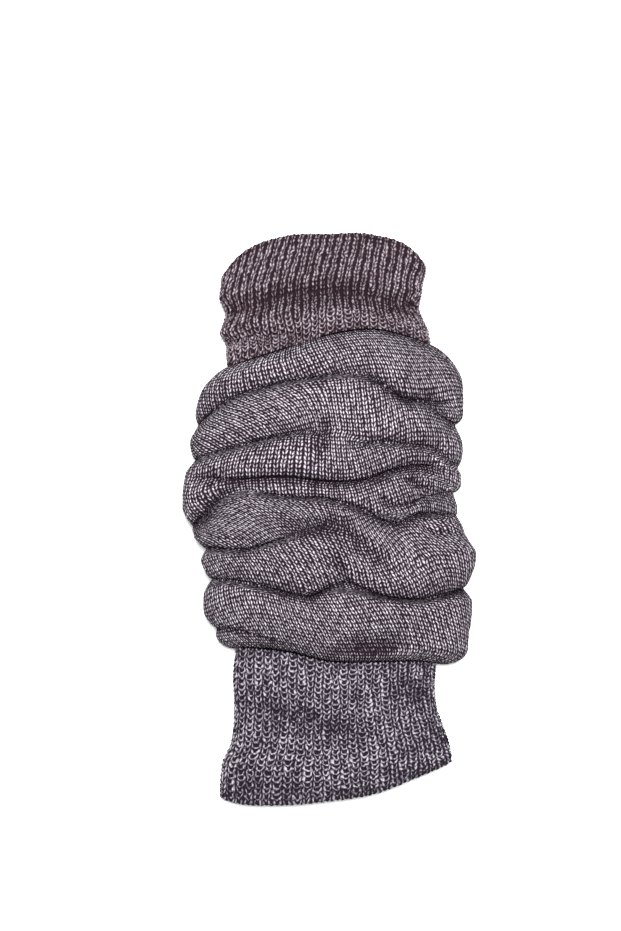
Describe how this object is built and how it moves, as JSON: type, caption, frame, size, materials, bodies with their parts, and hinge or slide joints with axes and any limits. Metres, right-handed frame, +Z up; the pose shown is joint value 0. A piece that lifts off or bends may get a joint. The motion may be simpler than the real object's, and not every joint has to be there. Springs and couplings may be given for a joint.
{
  "type": "knitted leg warmer",
  "caption": "Ribbed-cuff tube of knitted wool for the lower leg, lying flat, its plain middle pushed together into soft folds.",
  "frame": {"origin": "on the surface it lies on, under the middle of the garment's outline", "axes": "+Y along the tube towards the upper cuff, +X to the right seen from above, +Z up from the surface"},
  "size_m": [0.1426, 0.2839, 0.034],
  "materials": {
    "rib_knit": "ribbed wool knit, matt, heathered grey purple",
    "jersey_knit": "plain wool knit, matt, heathered grey purple"
  },
  "bodies": {
    "root": {"upper_cuff": "rib_knit", "leg_body": "jersey_knit", "lower_cuff": "rib_knit"}
  },
  "joints": []
}
